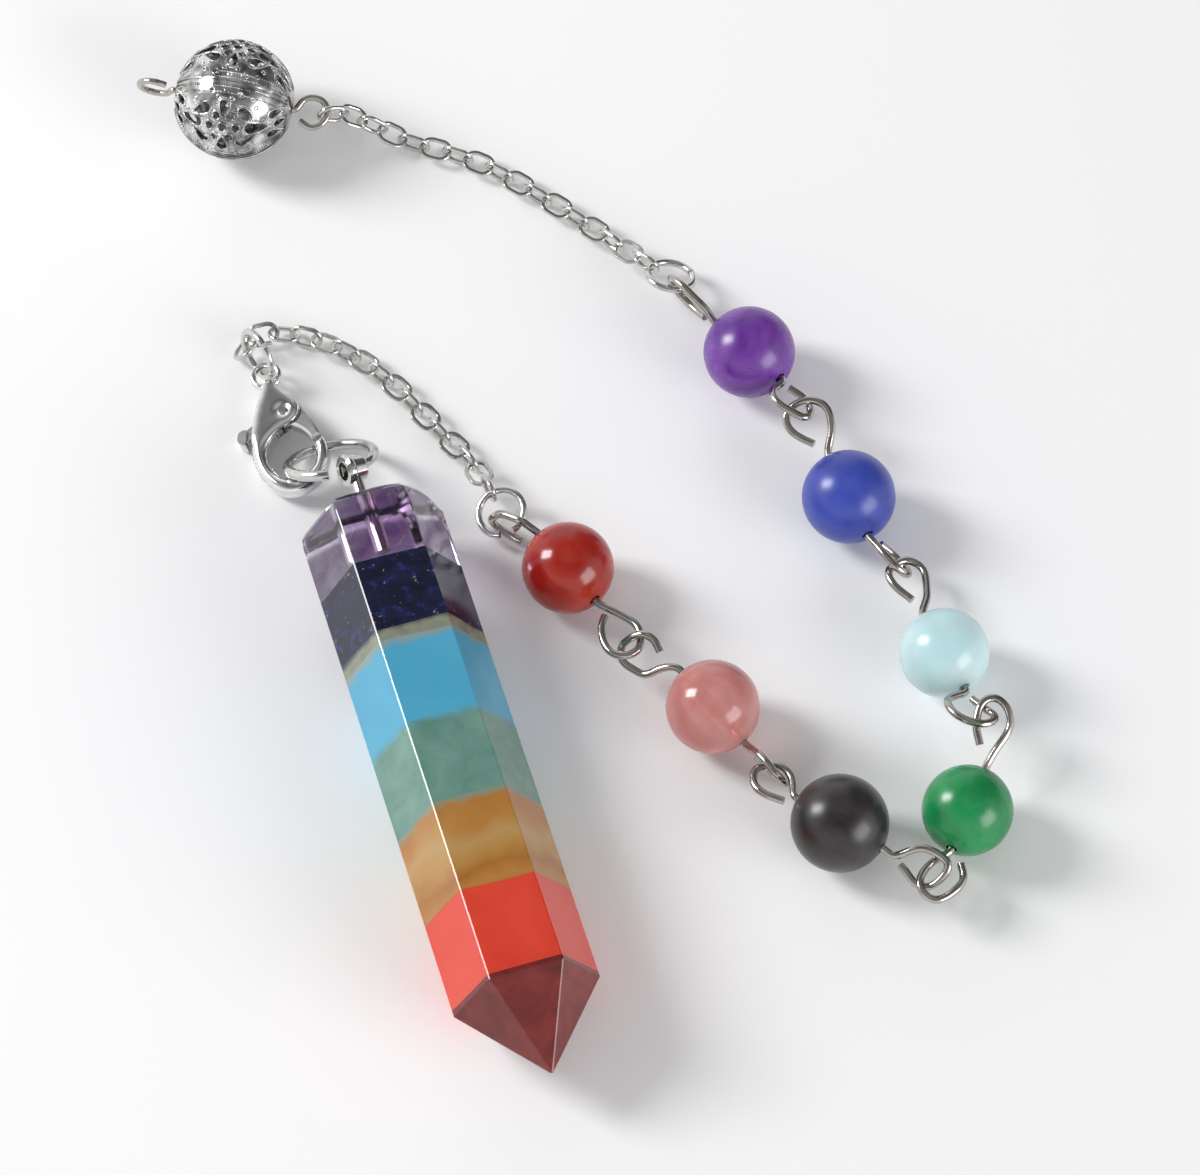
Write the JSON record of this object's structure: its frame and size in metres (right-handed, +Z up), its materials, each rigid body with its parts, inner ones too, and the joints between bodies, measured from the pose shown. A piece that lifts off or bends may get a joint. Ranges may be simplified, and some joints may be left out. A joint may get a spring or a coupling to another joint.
{
  "type": "pendulum pendant",
  "caption": "Pointed six-sided stone of coloured bands on a silver-tone bead chain with a lobster clasp and a pierced ball at the far end, lying in a curve.",
  "frame": {"origin": "centre of the bounding box in X and Y, on the table top that the parts lie on", "axes": "+X to the right, +Y away from the viewer, +Z up; the stone's point is toward -Y and the ball is at the far left"},
  "size_m": [0.0764, 0.1, 0.011],
  "materials": {
    "silver_metal": "gloss",
    "amethyst": "gloss",
    "lapis": "gloss",
    "pale_stone": "gloss",
    "turquoise": "gloss",
    "aventurine": "gloss",
    "honey_stone": "gloss",
    "carnelian": "gloss",
    "jasper": "gloss",
    "purple_stone": "gloss",
    "blue_stone": "gloss",
    "aqua_stone": "gloss",
    "green_stone": "gloss",
    "black_stone": "gloss",
    "pink_stone": "gloss",
    "red_stone": "gloss"
  },
  "bodies": {
    "root": {"amethyst_cap": "amethyst", "lapis_band": "lapis", "pale_band": "pale_stone", "turquoise_band": "turquoise", "aventurine_band": "aventurine", "honey_band": "honey_stone", "carnelian_band": "carnelian", "jasper_tip": "jasper", "purple_bead": "purple_stone", "blue_bead": "blue_stone", "aqua_bead": "aqua_stone", "green_bead": "green_stone", "black_bead": "black_stone", "pink_bead": "pink_stone", "red_bead": "red_stone", "purple_wire": "silver_metal", "blue_wire": "silver_metal", "aqua_wire": "silver_metal", "green_wire": "silver_metal", "black_wire": "silver_metal", "pink_wire": "silver_metal", "red_wire": "silver_metal", "bail": "silver_metal", "pendant_ring": "silver_metal", "clasp_body": "silver_metal", "clasp_pin": "silver_metal", "clasp_ring": "silver_metal", "chain_lower": "silver_metal", "lower_ring": "silver_metal", "upper_ring": "silver_metal", "chain_upper": "silver_metal", "filigree_ball": "silver_metal", "ball_wire": "silver_metal"},
    "lever": {"clasp_lever": "silver_metal"}
  },
  "joints": [
    {"name": "clasp_lever", "type": "hinge", "parent": "root", "child": "lever", "pos_m": [-0.02453, 0.01464, 0.00166], "axis": [0.194, 0.0377, -0.9803], "range_deg": [0, 8], "stiffness_Nm_per_rad": 0.01, "springref_deg": -17.19}
  ]
}
